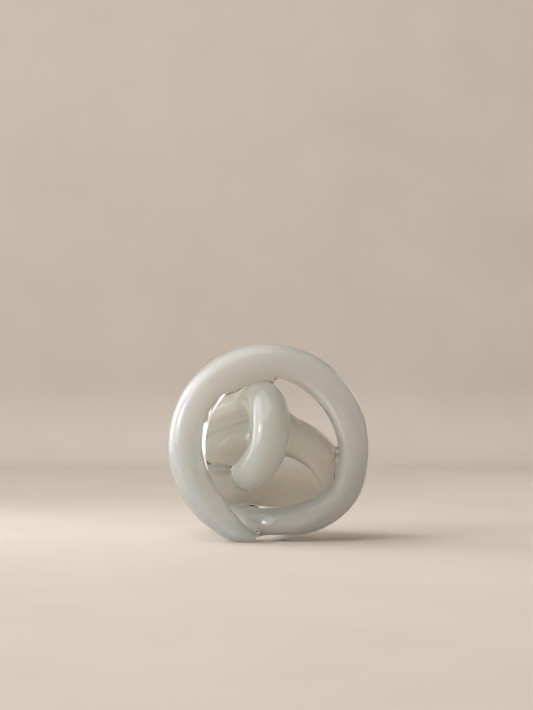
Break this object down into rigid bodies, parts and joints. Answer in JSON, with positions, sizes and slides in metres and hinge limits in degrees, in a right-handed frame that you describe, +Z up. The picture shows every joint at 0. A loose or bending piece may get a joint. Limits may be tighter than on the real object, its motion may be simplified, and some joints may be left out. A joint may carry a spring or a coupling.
{
  "type": "glass knot sculpture",
  "caption": "Table sculpture of a thick glass rod wound into an open knot: a milky white core runs inside a clear casing, and the lowest runs are ground flat to stand on.",
  "frame": {"origin": "middle of the box's bottom face, on the surface that the sculpture stands on", "axes": "+X to the right of a viewer in front, +Y away from the viewer, +Z up"},
  "size_m": [0.1824, 0.1376, 0.1771],
  "materials": {
    "clear_glass": "fire polished, clear",
    "milk_glass": "opal, milky white with a warm tint"
  },
  "bodies": {
    "root": {"left_bow_casing": "clear_glass", "left_bow_core": "milk_glass", "right_bow_casing": "clear_glass", "right_bow_core": "milk_glass", "inner_arch_casing": "clear_glass", "inner_arch_core": "milk_glass", "lower_loop_casing": "clear_glass", "lower_loop_core": "milk_glass", "front_loop_casing": "clear_glass", "front_loop_core": "milk_glass"}
  },
  "joints": []
}
